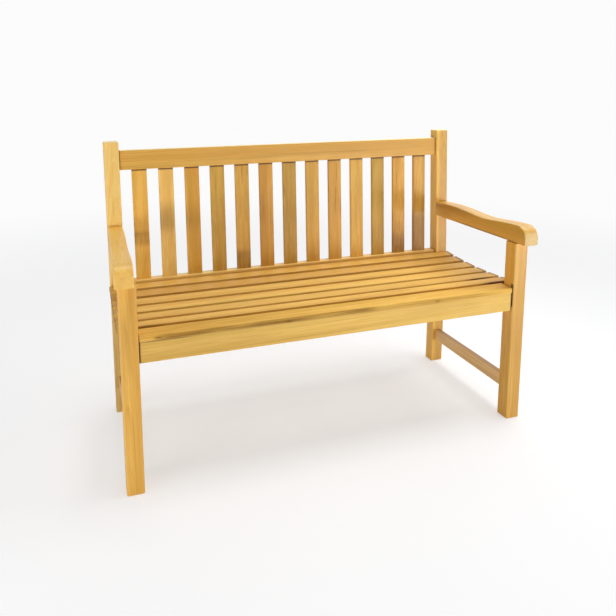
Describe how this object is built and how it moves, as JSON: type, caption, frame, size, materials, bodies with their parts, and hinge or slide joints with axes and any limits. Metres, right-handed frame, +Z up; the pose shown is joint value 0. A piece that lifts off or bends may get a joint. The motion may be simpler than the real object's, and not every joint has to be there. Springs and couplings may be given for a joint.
{
  "type": "garden bench",
  "caption": "Wooden garden bench with a raked back of upright slats, wavy-topped arms and a shallow dished seat of long boards, on legs joined by rails and low stretchers.",
  "frame": {"origin": "on the floor, under the middle of the bench's box", "axes": "+X to the right as seen from the front, the front faces -Y, +Z up"},
  "size_m": [1.2378, 0.5138, 0.884],
  "materials": {
    "frame_wood": "oiled satin",
    "slat_wood": "oiled satin",
    "seat_wood": "oiled satin",
    "peg_wood": "oiled satin",
    "zinc_steel": "zinc plated"
  },
  "bodies": {
    "root": {"front_leg_left": "frame_wood", "front_leg_right": "frame_wood", "rear_leg_left": "frame_wood", "rear_leg_right": "frame_wood", "arm_left": "frame_wood", "arm_right": "frame_wood", "side_rail_left": "frame_wood", "side_rail_right": "frame_wood", "stretcher_left": "frame_wood", "stretcher_right": "frame_wood", "front_rail": "frame_wood", "top_rail": "frame_wood", "lower_back_rail": "frame_wood", "centre_bearer": "frame_wood", "back_slat_01": "slat_wood", "back_slat_02": "slat_wood", "back_slat_03": "slat_wood", "back_slat_04": "slat_wood", "back_slat_05": "slat_wood", "back_slat_06": "slat_wood", "back_slat_07": "slat_wood", "back_slat_08": "slat_wood", "back_slat_09": "slat_wood", "back_slat_10": "slat_wood", "back_slat_11": "slat_wood", "back_slat_12": "slat_wood", "back_slat_13": "slat_wood", "seat_board_1": "seat_wood", "seat_board_2": "seat_wood", "seat_board_3": "seat_wood", "seat_board_4": "seat_wood", "seat_board_5": "seat_wood", "seat_board_6": "seat_wood", "front_seat_board": "seat_wood", "tenon_pegs": "peg_wood", "frame_bolts": "zinc_steel", "bolt_washers": "zinc_steel", "barrel_nuts": "zinc_steel", "seat_screws": "zinc_steel"}
  },
  "joints": []
}
